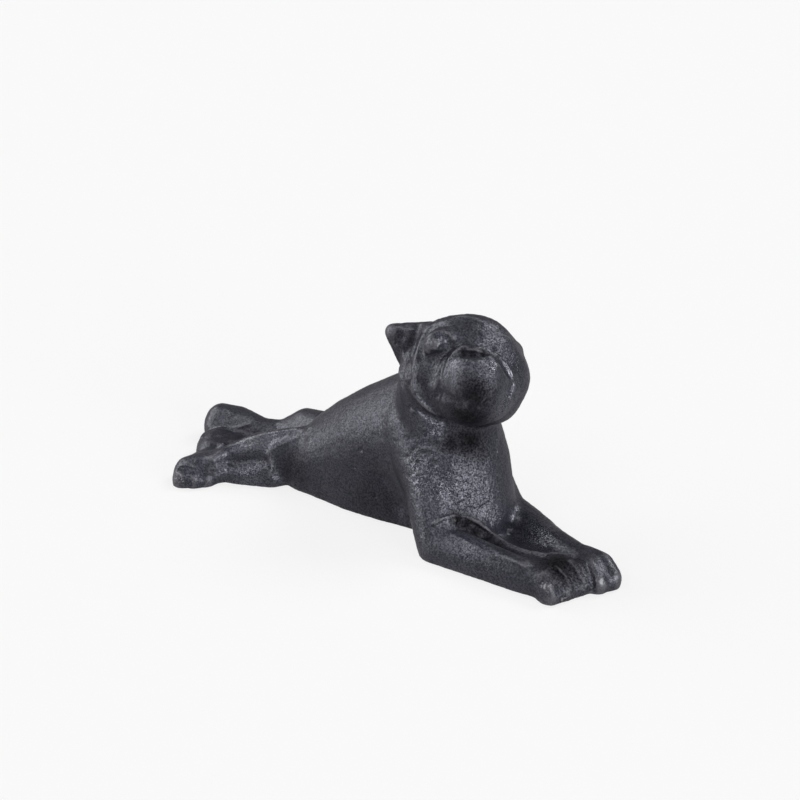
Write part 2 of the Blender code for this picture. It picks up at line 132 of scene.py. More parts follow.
# %% Helpers for nodes
def cleared_tree(material):
    """Empties the material's nodes, and gives its tree and a new output node."""
    material.use_nodes = True
    tree = material.node_tree
    tree.nodes.clear()
    return tree, tree.nodes.new("ShaderNodeOutputMaterial")


def add_node(tree, kind, **settings):
    """A new node, with settings such as its operation."""
    node = tree.nodes.new(kind)
    for name, value in settings.items():
        setattr(node, name, value)
    return node


def feed(tree, socket, value):
    """Links the value to the input if it is a socket, and else sets it there."""
    if isinstance(value, bpy.types.NodeSocket):
        tree.links.new(value, socket)
    else:
        socket.default_value = value


def math_node(tree, operation, first, second):
    """A Math node whose inputs are sockets or plain numbers."""
    node = add_node(tree, "ShaderNodeMath", operation=operation)
    feed(tree, node.inputs[0], first)
    feed(tree, node.inputs[1], second)
    return node.outputs[0]


def remap(tree, value, low, high, to_low=0.0, to_high=1.0):
    """Turns one range of values into another, with soft ends."""
    node = add_node(tree, "ShaderNodeMapRange", interpolation_type="SMOOTHSTEP")
    tree.links.new(value, node.inputs["Value"])
    node.inputs["From Min"].default_value = low
    node.inputs["From Max"].default_value = high
    node.inputs["To Min"].default_value = to_low
    node.inputs["To Max"].default_value = to_high
    return node.outputs["Result"]


print("helpers for nodes: ready")

# %% [markdown]
# ## The floor
#
# The dog lies on white, with only a soft shadow under it. The floor is white to the camera through
# Light Path, which leaves the light on the object alone, and the shadow stays. Reflections see the
# same white, but dimmed, because satin paint turns flat and grey when the whole room round it is
# white.

# %% Floor
FLOOR_SPAN = 16.0
FLOOR_COLOUR = (0.80, 0.80, 0.80, 1)
FLOOR_WHITENING = 0.80
FLOOR_SHEEN = 0.42


def mix_shaders(tree, share, first, second=None):
    """Mixes the second shader over the first by that share, or black if there is no second."""
    node = tree.nodes.new("ShaderNodeMixShader")
    for socket, value in zip(node.inputs, (share, first, second)):
        if value is not None:
            tree.links.new(value, socket)
    return node.outputs["Shader"]


def background_rays(tree):
    """Two switches: 1 where the camera sees the background, and 1 where sheen or glass shows it."""
    path = tree.nodes.new("ShaderNodeLightPath").outputs
    mirrored = math_node(tree, "MAXIMUM", path["Is Glossy Ray"], path["Is Transmission Ray"])
    return path["Is Camera Ray"], mirrored


def floor_material():
    """White paper, which is nearly plain white to the camera and dimmed in the paint's sheen."""
    material = bpy.data.materials.new("studio_floor")
    tree, output = cleared_tree(material)
    paper = tree.nodes.new("ShaderNodeBsdfDiffuse")
    paper.inputs["Color"].default_value = FLOOR_COLOUR
    white = tree.nodes.new("ShaderNodeEmission")
    seen, mirrored = background_rays(tree)
    either = math_node(tree, "MAXIMUM", seen, mirrored)
    share = math_node(tree, "MULTIPLY", either, FLOOR_WHITENING)
    whitened = mix_shaders(tree, share, paper.outputs["BSDF"], white.outputs["Emission"])
    dimming = math_node(tree, "MULTIPLY", mirrored, 1 - FLOOR_SHEEN)
    tree.links.new(mix_shaders(tree, dimming, whitened), output.inputs["Surface"])
    return material


def make_floor():
    """A flat square under the object, wide enough to reach past the picture's edges."""
    mesh = bpy.data.meshes.new("floor")
    half = FLOOR_SPAN / 2
    corners = [(-half, -half, 0), (half, -half, 0), (half, half, 0), (-half, half, 0)]
    mesh.from_pydata(corners, [], [(0, 1, 2, 3)])
    mesh.materials.append(floor_material())
    return new_object("floor", mesh)


floor = make_floor()
print("floor:", FLOOR_SPAN, "m square")

# %% [markdown]
# ## The lamps
#
# A satin black casting is read by its reflections more than by its colour, so the light decides
# whether its form shows. The highlights in the photograph say where its soft boxes stood: two to
# the left, one broad and one low, a low one to the right, one above the front and one behind. Here
# each is a sun lamp, because its angle makes it as soft as a soft box, and because it lights all of
# the floor alike, which a near lamp doesn't.

# %% Lamps
LAMPS = {
    "left": {"turn": -78, "rise": 38, "width": 44, "strength": 1.15},
    "low_left": {"turn": -54, "rise": 6, "width": 34, "strength": 1.1},
    "front": {"turn": 2, "rise": 44, "width": 28, "strength": 0.55},
    "right": {"turn": 78, "rise": 12, "width": 32, "strength": 2.1},
    "back_right": {"turn": 144, "rise": 50, "width": 26, "strength": 1.3},
}


def make_lamp(name, turn, rise, width, strength):
    """A far lamp that is as wide as that many degrees of the sky."""
    data = bpy.data.lights.new(name, "SUN")
    data.angle = math.radians(width)
    data.energy = strength
    aim(new_object(name, data), direction(turn, rise), Vector())


for name, settings in LAMPS.items():
    make_lamp(name, **settings)
print("lamps:", ", ".join(LAMPS))

# %% [markdown]
# ## The backdrop
#
# Behind the floor the studio is white too. To the camera it is plain white. In the sheen it is dim,
# and as a lamp it is nearly dark, so that the casting's shaded side keeps its depth. The colours
# are shown as they are, with the Standard view.

# %% World
WORLD_COLOUR = (1, 1, 1, 1)
WORLD_SHEEN = 0.20
WORLD_FILL = 0.08


def make_world():
    """A backdrop that is white to the camera, dim in the sheen and nearly dark as a lamp."""
    world = bpy.data.worlds.new("studio")
    world.use_nodes = True
    tree = world.node_tree
    background = tree.nodes["Background"]
    background.inputs["Color"].default_value = WORLD_COLOUR
    seen, mirrored = background_rays(tree)
    shown = math_node(tree, "MAXIMUM", seen, math_node(tree, "MULTIPLY", mirrored, WORLD_SHEEN))
    strength = math_node(tree, "MAXIMUM", shown, WORLD_FILL)
    tree.links.new(strength, background.inputs["Strength"])
    bpy.context.scene.world = world


make_world()
bpy.context.scene.view_settings.view_transform = "Standard"
print("world: sheen", WORLD_SHEEN, "and fill", WORLD_FILL)

# %% [markdown]
# ## Finding places on the dog
#
# The dog lies along a flat arc, its spine. A place on the body is said as a pattern maker would
# say it: so far along the spine from the hind toes, so far to the left, so high above the base.
# A place on the head is measured from the head's centre, in the way that the head faces. The arc
# is tied to the frame by the front left pad, whose place on the spine is known.

# %% Spine and head places
SPINE_RADIUS = 260.8
SPINE_MIDDLE = 122.0
SPINE_TURN = -3.2
HEAD_AT = 165.0
HEAD_ACROSS = -4.0
HEAD_UP = 84.0
HEAD_TURN = -42.0
HEAD_TILT = -8.0
ELBOW_AT = 171.0
ELBOW_SPREAD_FAR = 15.0

base_height = float(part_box("casting")[0][2])


def on_arc(along, across):
    """The point of the arc, before the frame's own origin is taken into account, and its angle."""
    angle = (along - SPINE_MIDDLE) / SPINE_RADIUS + math.radians(SPINE_TURN)
    reach = SPINE_RADIUS + across
    return mm(reach * math.sin(angle), reach * math.cos(angle) - SPINE_RADIUS, 0), angle


def pad_centre(name):
    """The middle of a measured pad."""
    low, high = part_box(name)
    return (Vector(low) + Vector(high)) / 2


arc_start = pad_centre("front_left_pad") - on_arc(ELBOW_AT, ELBOW_SPREAD_FAR)[0]


def on_spine(along, across, up):
    """Matrix of a place beside the spine: X runs towards the head, Y to the animal's left."""
    place, angle = on_arc(along, across)
    place += Vector((arc_start.x, arc_start.y, base_height + up * MM))
    return Matrix.Translation(place) @ Matrix.Rotation(-angle, 4, "Z")


def on_head(forward, left, up):
    """Matrix of a place on the head, from the head's centre, in the way that it faces."""
    turn = Euler((0, math.radians(HEAD_TILT), math.radians(HEAD_TURN))).to_matrix().to_4x4()
    centre = on_spine(HEAD_AT, HEAD_ACROSS, HEAD_UP)
    return centre @ turn @ Matrix.Translation(mm(forward, left, up))


print("head centre:", [round(x, 4) for x in on_head(0, 0, 0).translation])

# %% [markdown]
# ## A finer skin
#
# The measured casting has flat facets about 3 mm wide, so the detail that the photograph shows
# needs a finer skin. It starts as a copy. Its doubled corners are merged first, because the
# casting arrives as loose triangles. Plugs close the four pad seats, so that they can be cut
# crisply again at the end.

# %% A plugged copy
PAD_NAMES = ("front_left_pad", "front_right_pad", "rear_left_pad", "rear_right_pad")
MERGE_DISTANCE = 0.001
PLUG_MARGIN = 1.0
PLUG_TOP = 3.6
DISC_SIDES = 48


def pad_diameter(name):
    """The width of a measured pad, in millimetres."""
    low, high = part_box(name)
    return (high[0] - low[0]) / MM


def add_disc(bm, centre, diameter, bottom, top):
    """Adds an upright closed cylinder between two heights, all in millimetres but the centre."""
    place = Matrix.Translation((centre.x, centre.y, (bottom + top) / 2 * MM))
    radius = diameter / 2 * MM
    bmesh.ops.create_cone(
        bm, cap_ends=True, segments=DISC_SIDES, radius1=radius, radius2=radius,
        depth=(top - bottom) * MM, matrix=place,
    )


def object_from(bm, name):
    """Makes the edited shape an object of that name."""
    mesh = bpy.data.meshes.new(name)
    bm.to_mesh(mesh)
    bm.free()
    return new_object(name, mesh)


def plugged_copy():
    """The casting's own shape, closed and with its pad seats filled."""
    bm = bmesh.new()
    bm.from_mesh(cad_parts["casting"].data)
    bmesh.ops.remove_doubles(bm, verts=bm.verts, dist=MERGE_DISTANCE * MM)
    for name in PAD_NAMES:
        plug = pad_diameter(name) + PLUG_MARGIN
        add_disc(bm, pad_centre(name), plug, base_height / MM, PLUG_TOP)
    return object_from(bm, "dog_casting")


dog = plugged_copy()
print("copy:", len(dog.data.vertices), "points")

# %% [markdown]
# ## An even net
#
# A voxel remesh lays an even net of small squares over the copy and its plugs, as fine as the
# strokes that follow need it, and makes them one closed surface. A little smoothing takes the
# facets out. Subdividing would keep the casting's long thin triangles, which tear under a fine
# stroke.

# %% Remesh and soften
SKIN_VOXEL = 0.62
SMOOTHING_SHARE = 0.5
SMOOTHING_ROUNDS = 14


def plain_mesh(obj):
    """Replaces the object's mesh by what its modifiers make of it, and removes them."""
    graph = bpy.context.evaluated_depsgraph_get()
    mesh = bpy.data.meshes.new_from_object(obj.evaluated_get(graph))
    obj.modifiers.clear()
    obj.data = mesh


net = dog.modifiers.new("Net", "REMESH")
net.mode = "VOXEL"
net.voxel_size = SKIN_VOXEL * MM
soften = dog.modifiers.new("Soften", "SMOOTH")
soften.factor = SMOOTHING_SHARE
soften.iterations = SMOOTHING_ROUNDS
plain_mesh(dog)
print("net:", len(dog.data.vertices), "points")

# %% [markdown]
# ## Points as rows of numbers
#
# A mesh hands over its points one by one, and a loop over 200,000 of them would be slow. Read as
# rows of numbers, all of them are worked on at once. A bell curve gives every tool its soft edge.

# %% Rows of points
def rows_of(items, name):
    """Reads three numbers for each item of a mesh, as one row for each."""
    values = np.empty(len(items) * 3, dtype=np.float32)
    items.foreach_get(name, values)
    return values.reshape(-1, 3).astype(float)


def points_of(mesh):
    """Where each point of the mesh is."""
    return rows_of(mesh.vertices, "co")


def normals_of(mesh):
    """Which way the surface faces at each point."""
    return rows_of(mesh.vertex_normals, "vector")


def move_points(mesh, points):
    """Puts every point of the mesh at its new place."""
    mesh.vertices.foreach_set("co", points.ravel())
    mesh.update()


def bell(distance, width):
    """A soft curve: 1 at no distance, about a third at the width in millimetres, then soon 0."""
    return np.exp(-(distance / (width * MM)) ** 2)


print("net's points as rows:", points_of(dog.data).shape)

# %% [markdown]
# ## Modelled lines
#
# A pattern maker cuts and raises the features of the face with a few tools: a rim, a fold, a
# groove. Here each is a stroke: a row of points laid on the surface, with a half width and a
# height, negative where the tool presses in. The surface moves along its own normals by a soft
# bell curve of the distance to the stroke, as far out as a few half widths, and both ends of a
# stroke fade out over the same short length. A dab is a stroke of one point, for a pit or a boss.

# %% The stroke tool
STROKE_STEP = 0.4
STROKE_REACH = 2.6
STROKE_FADE = 1.6
FADE_FLOOR = 0.15


def snapped_path(tree, points):
    """A fine row of points that follows the surface under a rough row."""
    path = []
    for start, end in zip(points, points[1:]):
        steps = max(1, math.ceil((end - start).length / (STROKE_STEP * MM)))
        for step in range(steps):
            path.append(tree.find_nearest(start.lerp(end, step / steps))[0])
    path.append(tree.find_nearest(points[-1])[0])
    return np.array(path)


def nearness(points, path, half_width, fade):
    """A bell curve of each point's distance to the path, which fades out at the path's ends."""
    strength = np.zeros(len(points))
    reach = STROKE_REACH * half_width * MM
    low, high = path.min(axis=0) - reach, path.max(axis=0) + reach
    near = np.all((points > low) & (points < high), axis=1)
    candidates = points[near]
    distance = np.full(len(candidates), np.inf)
    power = np.zeros(len(candidates))
    steps = np.arange(len(path))
    to_end = np.minimum(steps, steps[::-1]) * STROKE_STEP
    fades = np.clip(to_end / fade, FADE_FLOOR, 1) if fade else np.ones(len(path))
    for point, share in zip(path, fades):
        gap = np.linalg.norm(candidates - point, axis=1)
        closer = gap < distance
        distance[closer] = gap[closer]
        power[closer] = share
    strength[near] = power * bell(distance, half_width)
    return strength


def draw_lines(obj, place, lines, fade=STROKE_FADE):
    """Raises or presses lines on the object's surface, along its normals."""
    tree = BVHTree.FromObject(obj, bpy.context.evaluated_depsgraph_get())
    points, normals = points_of(obj.data), normals_of(obj.data)
    lift = np.zeros(len(points))
    for half_width, height, rough in lines.values():
        path = snapped_path(tree, [place(*point).translation for point in rough])
        lift += height * MM * nearness(points, path, half_width, fade)
    move_points(obj.data, points + normals * lift[:, None])
    print("drew", len(lines), "lines, up to", round(float(abs(lift).max()) / MM, 2), "mm")


def press_dabs(obj, place, dabs):
    """Raises or presses dabs: each has a radius, a height and one point."""
    rows = {name: (radius, height, [point]) for name, (radius, height, point) in dabs.items()}
    draw_lines(obj, place, rows, fade=0)


print("strokes follow the surface in steps of", STROKE_STEP, "mm")

# %% [markdown]
# ## Spots
#
# Some things about a place aren't a line but a spot: here a step is blended away, there the iron is
# rough, or the paint is dull or worn. A spot has a radius, a strength and a middle, and fades out
# with the same bell curve. It moves nothing by itself. It only says how strongly each point lies in
# it.

# %% Shares of spots
def near_spots(mesh, place, spots):
    """For each point, the share of the spot that it lies in; a spot fades out with distance."""
    points = points_of(mesh)
    share = np.zeros(len(points))
    for radius, strength, spot in spots.values():
        distance = np.linalg.norm(points - np.array(place(*spot).translation), axis=1)
        share = np.maximum(share, strength * bell(distance, radius))
    return share


print("a spot's share at its radius:", round(float(bell(MM, 1)), 2))

# %% [markdown]
# ## The face
#
# The head is a flat broad mask with a thin raised rim, and the muzzle stands out of it like a
# second, smaller mask. A dark band crosses the top of the muzzle as the nose. The near eye is a
# plain round swelling under a brow arch, and folds of skin run down behind the rim. They could be
# sculpted by hand, but a row of numbers for each gives the same face on each run, and one line can
# be made sharper without touching the others. Each line says its half width and its height, then
# its points: so far forwards, to the left and up from the head's centre. A dab says its radius,
# its height and its one point.

# %% Lines of the face
FACE_LINES = {
    "crown_rim": (0.8, 0.5, [
        (8, -27.5, 3.5), (6.6, -27, 5.8), (3.7, -26.1, 8.8), (0, -24.8, 12.4), (-0.7, -23.3, 15.6),
        (-1.5, -21.3, 18.5), (-2.3, -19.4, 20.5), (-2.1, -16.4, 22.2), (0.7, -12.1, 24),
        (0.8, -7.7, 25.5), (1.5, -4.8, 26.3), (2.1, -0.4, 25.8), (3.4, 3.2, 25.2),
    ]),
    "inside_rim": (1.3, -0.4, [
        (9.5, -25.5, 3), (7.5, -24.5, 7), (3, -22.8, 12), (1.5, -21, 16), (1.3, -18, 19),
        (1.5, -15, 21), (3.5, -11, 22.5), (3.5, -6, 24), (4.5, 0, 24),
    ]),
    "mask_side": (0.9, 0.4, [
        (8, -27.5, 3.5), (9.4, -27.9, -1.5), (9.5, -28.3, -5.3), (9.5, -27.3, -7.3),
    ]),
    "jaw_rim": (0.8, 0.45, [
        (9.5, -27.3, -7.3), (9.4, -26.4, -8.9), (9, -24.9, -11.4), (8.7, -22.7, -13.9),
        (8.6, -20, -16), (8, -17, -18.2), (3.1, -14.7, -21.6),
    ]),
    "under_jaw": (1.5, -0.9, [
        (3.1, -28.4, -14.5), (3.6, -26, -16.6), (3.7, -23, -19), (3.8, -20, -21),
        (3.3, -15.4, -23.3), (3.5, -10.9, -24.6),
    ]),
    "fold_line": (0.7, 0.3, [
        (-7.2, -28.5, 9), (-4.3, -29.4, 5.5), (2.7, -30.7, 2.1), (4.6, -31.2, -2), (4, -31.3, -5.3),
    ]),
    "second_fold_line": (0.7, 0.25, [
        (-8, -31.3, 6.9), (-9, -32.4, 2.5), (-4.6, -33.4, 0.1), (-3.4, -33.7, -2.7),
    ]),
    "fold_groove": (1.1, -0.8, [
        (-5.2, -27.5, 7.6), (4.3, -28.8, 4.8), (8.3, -29.3, 0.1), (6.8, -29.9, -5.3),
    ]),
    "brow_arch": (0.8, 0.3, [
        (6.5, -20.9, 18.6), (6, -19.3, 19.8), (5.9, -17.1, 20.7), (6.7, -14.2, 21.1),
        (8.3, -11.8, 20.3), (9.7, -9.7, 18.2), (9, -10.7, 16.3),
    ]),
    "brow_hollow": (0.9, -0.3, [
        (9.2, -20, 17.4), (8.3, -18, 18.9), (7.7, -15.4, 19.2), (8.6, -13, 18.4),
    ]),
    "eye_ring": (1.4, 0.5, [
        (8.4, -22.4, 13.5), (8.1, -21.5, 12.3), (7.7, -19.2, 11.4), (9, -17.1, 12),
    ]),
    "left_hollow": (1.8, -0.6, [
        (6.2, -21.6, 9), (7.1, -23.2, 5.8), (8.2, -25.1, 3.5), (9.3, -26.4, -0.4),
        (9.6, -26.2, -3.8),
    ]),
    "muzzle_left": (1.3, 0.7, [
        (9.7, -12.4, 10.5), (10.3, -14, 8), (11.2, -15.7, 5), (11.8, -16.8, 2), (13.3, -17.8, -1.4),
        (13, -18.8, -4.6),
    ]),
    "nose_top": (0.5, 0.4, [
        (13.1, -10.7, 11.5), (13, -8, 14.1), (12.7, -4.4, 15.4), (12.8, -2.2, 15.3),
        (13.7, 0.2, 14.8), (11.9, 4.2, 14.4), (11.8, 6.4, 13.3), (12.1, 8.2, 11.7),
    ]),
    "nose_band": (1.3, -1.1, [
        (14.2, -7.6, 12), (14.8, -5, 12.5), (16, -2.5, 12.7), (16.7, 0.7, 12.6), (16.7, 3.6, 12.6),
        (14.8, 5.8, 11.8),
    ]),
    "muzzle_right": (1.1, 0.8, [
        (12.6, 7.6, 11.8), (11.5, 10.9, 9.3), (11.1, 13.7, 6.4), (11.4, 15.9, 3), (11.7, 17, 0.5),
        (12.6, 17.4, -2), (13.5, 17.2, -5.5), (14.7, 16.2, -7.8), (17.8, 13.9, -9.5),
    ]),
    "nose_front": (1.5, 0.7, [
        (16, -8.5, 10.3), (18.5, -4.5, 10.8), (19.8, 0, 10.3), (19.3, 4.5, 9.8),
    ]),
    "flew_groove": (1.6, -0.25, [
        (17.3, -3.1, 10.8), (21.4, -3.2, 8.9), (24.1, -4.5, 5.9), (25.4, -5.7, 2.5),
    ]),
    "mouth": (0.8, -0.3, [
        (11.9, -17.7, -6.4), (16.8, -14.4, -5.1), (21.3, -11.5, -5.1), (23.6, -9.2, -5.5),
    ]),
    "lip": (0.6, 0.2, [(27, 4.3, -2.6), (27.5, 2.1, -5.8), (27.2, 0.3, -8.5), (26.2, -0.5, -11.4)]),
    "chin": (0.8, 0.2, [(25.1, -1.2, -13.7), (22.6, -2.8, -16.4), (18.3, -4.2, -19)]),
    "forehead_arc": (0.6, 0.3, [(8, -6.9, 20.5), (7.7, -5, 21.2), (8.3, -3.2, 20.5)]),
    "neck_seam": (0.6, 0.4, [
        (-8, 12.7, -31), (-5.6, 12.7, -35.1), (-4, 12.7, -38.2), (-2, 12.7, -43),
    ]),
    "ear_fold": (0.8, 0.3, [(-8, -24, 18.5), (-8.5, -28, 18), (-11, -33, 18.5)]),
}
FACE_DABS = {
    "near_eye": (2.3, 0.35, (10.8, -16.4, 14.8)),
    "far_eye": (4.5, -0.5, (7.5, 9, 17)),
    "left_flew": (3.2, 0.5, (17.1, -9.3, 8.2)),
    "right_flew": (4.5, 0.6, (21.9, 6.3, 6.6)),
    "mouth_lump": (2.1, 0.8, (16, -14.3, -7.8)),
    "ear_boss": (1.5, 0.6, (-10.8, -34, 10.6)),
    "ear_hole": (0.7, -1.0, (-10.5, -34.3, 11)),
    "ear_hollow": (2.3, -1.3, (-9, -32.2, 15)),
    "muzzle_pinhole": (1.0, -1.5, (9.9, 9.6, 13)),
    "crown_pinhole": (0.7, -0.7, (5.5, 3.4, 23.1)),
    "jaw_pit": (1.1, -1.2, (1.9, -29.3, -16.2)),
    "second_jaw_pit": (1.0, -1.0, (2.4, -27, -19.7)),
    "throat": (7, -1.6, (4, -12, -30)),
    "throat_lump": (1.8, 0.8, (2.3, -22.5, -27)),
    "second_throat_lump": (1.6, 0.8, (3, -19, -29.5)),
    "third_throat_lump": (1.8, 0.7, (3, -15.5, -31.5)),
    "pupil": (1.0, -0.5, (10.8, -15.6, 14.2)),
}
draw_lines(dog, on_head, FACE_LINES)
press_dabs(dog, on_head, FACE_DABS)

# %% [markdown]
# ## Fillets between the legs
#
# Iron shrinks and cracks at sharp inside corners, so a pattern maker runs wax into them. Two places
# of the measured casting still have steps: the pocket between the forelegs, and the seam where the
# hind leg leaves the trunk. Each point there moves towards the middle of its neighbours, round
# after round, until the step has become a smooth hollow.

# %% The wax fillets
BLEND_ROUNDS = 260
BLEND_SHARE = 0.5
BLEND_EDGE = 0.02
BLENDED_BODY = {
    "chest_foot": (5.5, 1, (184, 6, 11)),
    "pocket_start": (6.5, 1, (189.5, 4, 5)),
    "pocket_middle": (7, 1, (197, 3, 5)),
    "pocket_end": (7, 1, (204, 1.5, 6)),
    "arm_side": (5, 0.8, (196, 7, 11)),
    "upper_thigh_seam": (5, 0.35, (65.5, -13, 25)),
    "thigh_seam": (5, 0.35, (64, -16.5, 17)),
    "lower_thigh_seam": (5, 0.35, (62.5, -18, 8)),
}


def ends_of(mesh):
    """The two end points of every edge, as two rows of numbers."""
    edges = np.empty(len(mesh.edges) * 2, dtype=np.int64)
    mesh.edges.foreach_get("vertices", edges)
    return edges[0::2], edges[1::2]


def average_of_neighbours(values, first, second):
    """For each point, the mean of the points that an edge joins to it."""
    count = np.maximum(np.bincount(np.append(first, second), minlength=len(values)), 1)
    total = np.zeros_like(values)
    np.add.at(total, first, values[second])
    np.add.at(total, second, values[first])
    return total / (count[:, None] if values.ndim == 2 else count)


def blend_spots(obj, spots):
    """Melts steps away within spots, as a finger run through wax leaves a fillet."""
    mesh = obj.data
    weight = near_spots(mesh, on_spine, spots)
    inside = np.flatnonzero(weight > BLEND_EDGE)
    order = np.full(len(mesh.vertices), -1)
    order[inside] = np.arange(len(inside))
    first, second = ends_of(mesh)
    both = (order[first] >= 0) & (order[second] >= 0)
    first, second = order[first[both]], order[second[both]]
    points = points_of(mesh)
    local, share = points[inside], BLEND_SHARE * weight[inside][:, None]
    for _ in range(BLEND_ROUNDS):
        local = local + share * (average_of_neighbours(local, first, second) - local)
    points[inside] = local
    move_points(mesh, points)
    print("blended", len(inside), "points")


blend_spots(dog, BLENDED_BODY)

# %% [markdown]
# ## Legs and seams
#
# Where the two halves of the sand mould met, a thin ridge of metal was left. It runs along the
# web between the forelegs. Creases part the toes, and a hem runs round the rump where the hind
# leg comes out of it. They are strokes too, and their points say how far along the spine, how far
# to the left and how high they lie. They are drawn after the fillets, because a fillet would melt
# them away.

# %% Lines of the body
BODY_LINES = {
    "web_ridge": (0.9, 1.1, [
        (171.7, -36, 17.9), (173.4, -33.5, 19.7), (175.1, -30.1, 20.8), (176.6, -26.6, 20.5),
        (178.2, -20.4, 18.4), (183.5, -16.6, 15.9), (186.6, -12.8, 11.7), (192.3, -11.5, 9.6),
        (198.6, -11, 8.6), (206.2, -10.3, 8.9), (212, -8.5, 9), (216, -5.5, 10), (223, -2.5, 12),
        (227, 3, 12),
    ]),
    "top_plane": (2.6, -0.8, [
        (177, -31, 18.6), (181, -26, 17.5), (184, -20.5, 14), (189, -17, 10.5), (197, -16.5, 9),
        (206, -15.5, 9.5),
    ]),
    "near_crest": (1.5, 0.6, [
        (181.3, -32, 14.9), (190.3, -30.7, 14.2), (199.4, -29.8, 13.7), (207.2, -28.7, 13.1),
        (217, -25, 14), (228, -20, 12),
    ]),
    "arm_groove": (2.0, -0.7, [
        (161.3, -24.7, 44.6), (161.3, -26.4, 40), (163.3, -28.8, 35.1), (166.1, -30.6, 30.2),
        (168.3, -32.8, 25.3), (170, -34.8, 21),
    ]),
    "arm_ridge": (1.4, 0.4, [
        (152.8, -29.9, 38.7), (157.1, -29.6, 37.8), (162, -28.7, 36.3), (165.6, -27.7, 34.1),
        (167.9, -25.9, 33.4),
    ]),
    "chest_rim": (1.0, 0.5, [
        (150, -26, 47), (154.6, -24.3, 47.9), (159.5, -23.5, 48.2), (163.1, -22.6, 48.2),
        (165.4, -22.6, 46.4),
    ]),
    "chest_crease": (0.6, -0.35, [
        (173.9, -27.5, 23.2), (175, -23, 24.7), (176.7, -19.2, 25.9), (178.1, -15, 27.5),
    ]),
    "second_chest_crease": (0.7, -0.4, [
        (180.1, -15.1, 20.2), (181.3, -12, 21.7), (182, -7.7, 23.6),
    ]),
    "third_chest_crease": (0.5, -0.2, [
        (171.8, -23.5, 31.6), (174.2, -20.2, 32.5), (175.4, -16.6, 34.2),
    ]),
    "fourth_chest_crease": (0.5, -0.2, [
        (171, -27, 27.9), (173.8, -23.1, 27.8), (175.3, -20.1, 29.4),
    ]),
    "first_toe": (0.8, -1.0, [(233, -12, 13), (235, -11, 12), (239, -10, 10), (243, -10, 7)]),
    "second_toe": (0.8, -1.0, [(236, -4, 13), (238, -3, 11), (242, -3, 8), (244, -1, 5)]),
    "third_toe": (0.8, -1.0, [(236, 5, 13), (238, 5, 12), (243, 4, 7), (245, 3, 3)]),
    "hind_crest": (2.2, 0.8, [
        (18.5, -24.1, 11.8), (22.2, -19.5, 14.5), (27.4, -14.1, 17), (33.6, -11.8, 19.9),
        (43.5, -11.5, 23.8), (52.7, -9.8, 26.2), (60.8, -8.2, 28.4), (72.8, -10.7, 32.8),
    ]),
    "rump_hem": (0.9, 0.35, [
        (72.9, -11.1, 32.6), (67.2, -11.6, 28.1), (60.5, -14, 24.6), (54.3, -16.2, 21.2),
        (50.9, -18.1, 18.7), (51.1, -18.9, 14.5), (52.3, -19.2, 11.4), (53.5, -19.3, 8.1),
    ]),
    "hock_fold": (2.0, -0.7, [
        (24.5, -20, 10.3), (30.8, -17.7, 11.1), (37.9, -17.6, 12.2), (45, -17.6, 12.9),
    ]),
    "foot_crease": (1.0, -0.5, [
        (0.2, -26.8, 8.8), (5.7, -27.4, 8.9), (11.7, -27.6, 8.3), (15.6, -26.4, 9.2),
    ]),
    "tail_edge": (0.9, 0.6, [
        (1, 5, 11.5), (2.5, 13, 11), (6, 17.5, 10.5), (12, 18, 10.5), (18.6, 17.9, 11.2),
        (22.9, 17.8, 13.2), (28.1, 18.4, 15.1),
    ]),
    "tail_valley": (2.8, -0.7, [
        (10.7, 2.9, 11.7), (17.4, 7.6, 11.3), (24, 11, 11.5), (32, 11, 14), (41, 10, 17),
    ]),
    "far_foot_line": (0.8, 0.2, [
        (3.4, 28.8, 16.1), (9.8, 28.1, 17.6), (15.3, 24.6, 16.7), (15.3, 23.4, 16.1),
    ]),
}
BODY_DABS = {
    "first_toe_pit": (1.3, -0.6, (16.5, -27.5, 7.5)),
    "second_toe_pit": (1.3, -0.6, (19.1, -26.5, 7.2)),
    "third_toe_pit": (1.2, -0.5, (21.4, -24.9, 6.7)),
    "fourth_toe_pit": (1.2, -0.5, (23.8, -23.3, 7.3)),
    "outer_toe_boss": (2.0, 0.9, (240.5, -19, 8.5)),
    "outer_toe_pit": (1.0, -0.5, (239, -20.5, 11)),
    "belly_pit": (1.0, -1.0, (111, -24, 35)),
    "breast_pit": (0.9, -0.8, (148.7, -26.9, 46.2)),
    "second_breast_pit": (0.9, -0.8, (145.8, -28.6, 42.6)),
}
draw_lines(dog, on_spine, BODY_LINES)
press_dabs(dog, on_spine, BODY_DABS)

# %% [markdown]
# ## Where the casting is rougher
#
# Sand doesn't pack alike in every part of a mould. Round the muzzle, on the chest and over the
# hock the iron came out coarse, while the long flank is nearly smooth. Each rough place is a
# spot, and every point of the skin keeps its share of them, for the grain and for the paint. The
# paint's paler tone there is partly the coarse iron's own and partly a painted highlight, which
# brightens the chest.

# %% Rough spots
ROUGH_BASE = 0.35
ROUGH_BODY = {
    "chest": (20, 0.65, (173, -20, 34)),
    "near_forearm": (18, 0.2, (195, -31, 9)),
    "web": (8, 0.4, (184, -5, 15)),
    "far_forearm": (12, 0.45, (201, 5, 11)),
    "paws": (13, 0.45, (238, -6, 7)),
    "hock": (11, 0.55, (40, -22, 6)),
    "hind_foot": (9, 0.3, (6, -30, 6)),
}
ROUGH_HEAD = {
    "throat": (11, 0.3, (4, -12, -32)),
    "below_jaw": (7, 1.0, (2, -20, -27)),
    "muzzle": (8, 0.8, (23, 3, 6)),
    "jowl": (9, 1.1, (18, 13, -11)),
    "brow": (8, 0.45, (9, -14, 16)),
    "right_cheek": (12, 0.4, (8, 13, 14)),
}


def strongest_spot(mesh, body, head):
    """For each point, its share of the strongest spot on the body or the head."""
    return np.maximum(near_spots(mesh, on_spine, body), near_spots(mesh, on_head, head))


